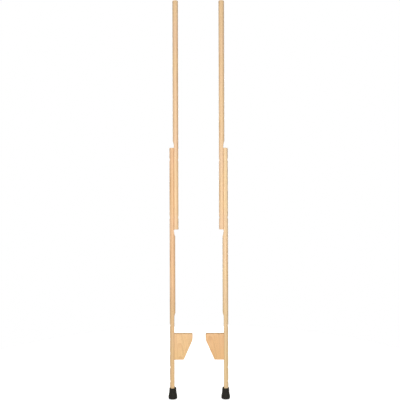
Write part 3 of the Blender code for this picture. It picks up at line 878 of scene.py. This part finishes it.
bore_radius = pole_radius + fit_gap
rim_radius = bore_radius + foot_wall
shoulder_radius = rim_radius + foot_taper
base_radius = (foot_high.x - foot_low.x) / 2 - mould_line_rise
foot_top = foot_high.z
profile = [(0, 0)]
for radius in groove_radii:
    far_side = radius + groove_width
    profile += [(radius, 0), (radius, groove_depth), (far_side, groove_depth), (far_side, 0)]
profile += arc((base_radius - base_edge, base_edge), base_edge, -math.pi / 2, 0)
profile += [(base_radius, mould_line_height - mould_line_rise),
            (base_radius + mould_line_rise, mould_line_height),
            (base_radius, mould_line_height + mould_line_rise)]
for step in range(flare_steps + 1):
    share = step / flare_steps
    ease = (1 - math.cos(math.pi * share)) / 2
    radius = base_radius + (shoulder_radius - base_radius) * ease
    profile.append((radius, base_height + flare_height * share))
profile += arc((rim_radius - rim_edge, foot_top - rim_edge), rim_edge, 0, math.pi / 2)
lip = rim_edge / 2
profile += arc((bore_radius + lip, foot_top - lip), lip, math.pi / 2, math.pi)
profile += [(bore_radius, foot_floor), (0, foot_floor)]
foot_shape = turned(profile, foot_segments)
bmesh.ops.translate(foot_shape, verts=foot_shape.verts, vec=(leg_x, 0, 0))
add_pair("rubber_foot", "moulding", foot_shape, "stilt", foot_rubber)

# %% [markdown]
# ## Lap bolts and sleeve nuts
#
# A lap bolt goes through the leg into a sleeve nut in the hand pole, and both have the same flat head with a
# six-sided socket. Heads are turned with a small rounded edge, and the socket is carved with a hexagonal
# cutter. The shanks stay plain, because the wood hides them for good.

# %% Heads and sockets
bolt_segments = 64
head_edge = 0.6 * mm
lap_key_width = 4 * mm
lap_key_depth = 1.8 * mm


def hex_socket(width, bottom, top):
    """A cutter for the socket of a hexagon key, along Z."""
    shape = bmesh.new()
    corner = width / math.sqrt(3)
    bmesh.ops.create_cone(shape, cap_ends=True, segments=6, radius1=corner, radius2=corner,
                          depth=top - bottom, matrix=Matrix.Translation((0, 0, (bottom + top) / 2)))
    return shape


def flat_head():
    """Profile of the head from its axis to its edge, above height 0."""
    edge_centre = (lap_head_radius - head_edge, head_edge - lap_head_height)
    return [(0, -lap_head_height), *arc(edge_centre, head_edge, -math.pi / 2, 0), (lap_head_radius, 0)]


def lap_socket():
    """The cutter for the socket in such a head."""
    return hex_socket(lap_key_width, -lap_head_height - overshoot, lap_key_depth - lap_head_height)


print(f"lap heads {2 * lap_head_radius / mm:.1f} mm across")

# %% Lap hardware
sleeve_base = 3.5 * mm
shank_chamfer = 0.8 * mm

lap_shank = lap_bolt_high.x - lap_bolt_low.x - lap_head_height
lap_sleeve = lap_nut_high.x - lap_nut_low.x - lap_head_height
lap_bore = lap_screw_radius + fit_gap
for level, height in lap_heights.items():
    screw = [(lap_screw_radius, 0), (lap_screw_radius, lap_shank - shank_chamfer),
             (lap_screw_radius - shank_chamfer, lap_shank), (0, lap_shank)]
    bolt = combine(turned(flat_head() + screw, bolt_segments), [lap_socket()])
    lay_along_x(bolt, lap_bolt_low.x + lap_head_height, height)
    add_pair(f"lap_bolt_{level}", "steel", bolt, "stilt", plated)
    sleeve = [(lap_sleeve_radius, 0), (lap_sleeve_radius, lap_sleeve), (lap_bore, lap_sleeve),
              (lap_bore, sleeve_base), (0, sleeve_base)]
    nut = combine(turned(flat_head() + sleeve, bolt_segments), [lap_socket()])
    lay_along_x(nut, lap_nut_high.x - lap_head_height, height, facing=-1)
    add_pair(f"lap_nut_{level}", "steel", nut, "stilt", plated)

# %% [markdown]
# ## Footrest bolts with threads
#
# These bolts come out when the footrest is moved, so their threads show, and relief in the finish would leave
# the outline of the bolt smooth. A screw thread is a ridge wound round the shank: one small outline that is
# spun many turns while it climbs by one pitch per turn. The spin operator does both at once. A Boolean then
# joins the ridge to the shank, so the bolt is one closed solid.

# %% Thread helper
thread_pitch = 1.25 * mm
thread_depth = 0.62 * mm
thread_steps = 24  # in one turn
thread_root = 0.92  # share of the pitch that the ridge covers at its foot
thread_crest = 0.1  # and at its crest
thread_sink = thread_depth / 4  # the ridge starts this far inside the metal that it is joined to


def thread_ridge(root, crest, turns):
    """A helical ridge about Z that starts at height 0 and climbs, from the root radius to the crest."""
    shape = bmesh.new()
    inner = thread_root * thread_pitch / 2
    outer = thread_crest * thread_pitch / 2
    corners = [(root, -inner), (crest, -outer), (crest, outer), (root, inner)]
    points = [shape.verts.new((radius, 0, height)) for radius, height in corners]
    start = shape.faces.new(points)
    ring = list(start.edges)
    bmesh.ops.spin(shape, geom=points + ring, cent=(0, 0, 0), axis=(0, 0, 1), angle=2 * math.pi * turns,
                   steps=thread_steps * turns, dvec=(0, 0, thread_pitch / thread_steps))
    open_edges = [edge for edge in shape.edges if edge.is_boundary]
    bmesh.ops.contextual_create(shape, geom=open_edges)
    bmesh.ops.recalc_face_normals(shape, faces=shape.faces)
    return shape


print(f"thread pitch {thread_pitch / mm:.2f} mm")

# %% Footrest bolts
thread_length = 30 * mm
head_radius = 7 * mm
head_height = 4.4 * mm
head_top_radius = 3.3 * mm
dome_steps = 10
step_key_width = 5 * mm
step_key_depth = 2.6 * mm

crown = math.acos(head_top_radius / head_radius)
dome = [
    (head_radius * across, -head_height * up / math.sin(crown))
    for across, up in arc((0, 0), 1, crown, 0, dome_steps)
]
shank_length = bolt_high.x - bolt_low.x - head_height
core_radius = step_screw_radius - thread_depth
thread_start = shank_length - thread_length
thread_turns = int((thread_length - 2 * thread_pitch) / thread_pitch)
for level, height in step_heights.items():
    shank = [(step_screw_radius, 0), (step_screw_radius, thread_start),
             (core_radius, thread_start + thread_depth), (core_radius, shank_length - shank_chamfer),
             (core_radius - shank_chamfer, shank_length), (0, shank_length)]
    blank = combine(turned([(0, -head_height), *dome, *shank], bolt_segments),
                    [hex_socket(step_key_width, -head_height - overshoot, step_key_depth - head_height)])
    ridge = thread_ridge(core_radius - thread_sink, step_screw_radius, thread_turns)
    bmesh.ops.translate(ridge, verts=ridge.verts, vec=(0, 0, thread_start + thread_pitch))
    bolt = combine(blank, [ridge], "UNION")
    lay_along_x(bolt, bolt_low.x + head_height, height)
    add_pair(f"step_bolt_{level}", "steel", bolt, f"{level}_bolt_set", plated)

# %% [markdown]
# ## Washers and threaded inserts
#
# A washer spreads the head's pull over the soft wood. It is punched from sheet, so its edge is slightly
# rounded on one side and crisp on the other. The insert is a threaded steel sleeve that is driven into the
# footrest. Its thread is the same helical ridge as on the bolt, but carved out of the bore.

# %% Washers and inserts
washer_edge = 0.4 * mm
insert_chamfer = 0.7 * mm

washer_thickness = washer_high.x - washer_low.x
washer_bore = step_screw_radius + fit_gap
insert_length = insert_high.x - insert_low.x
insert_turns = int(insert_length / thread_pitch) + 2
for level, height in step_heights.items():
    edge_centre = (washer_radius - washer_edge, washer_edge)
    profile = [(washer_bore, 0), *arc(edge_centre, washer_edge, -math.pi / 2, 0),
               (washer_radius, washer_thickness), (washer_bore, washer_thickness)]
    washer = lay_along_x(turned(profile, bolt_segments), washer_low.x, height)
    add_pair(f"step_washer_{level}", "steel", washer, f"{level}_bolt_set", plated)
    profile = [(washer_bore + insert_chamfer, 0), (insert_radius - insert_chamfer, 0),
               (insert_radius, insert_chamfer), (insert_radius, insert_length),
               (washer_bore, insert_length), (washer_bore, insert_chamfer)]
    groove = thread_ridge(washer_bore - thread_sink, washer_bore + thread_depth, insert_turns)
    bmesh.ops.translate(groove, verts=groove.verts, vec=(0, 0, -thread_pitch))
    insert = combine(turned(profile, bolt_segments), [groove])
    lay_along_x(insert, insert_low.x, height)
    add_pair(f"step_insert_{level}", "steel", insert, "footrest_set", plated)

# %% [markdown]
# ## Discs inside the feet
#
# A steel disc in each rubber foot keeps the end of the leg from punching through the rubber. It never shows,
# and its plain shape is already right, so the frame's own solid stays and only gets the plated finish.

# %% Foot discs
for side in ("left", "right"):
    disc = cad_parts[f"{side}_foot_disc"]
    disc.material_slots[0].material = zinc
print("discs:", [f"{side}_foot_disc" for side in ("left", "right")])

# %% [markdown]
# ## View settings
#
# The view settings stay neutral, so that a colour renders about as it was written.

# %% Neutral view
bpy.context.scene.view_settings.view_transform = "Standard"
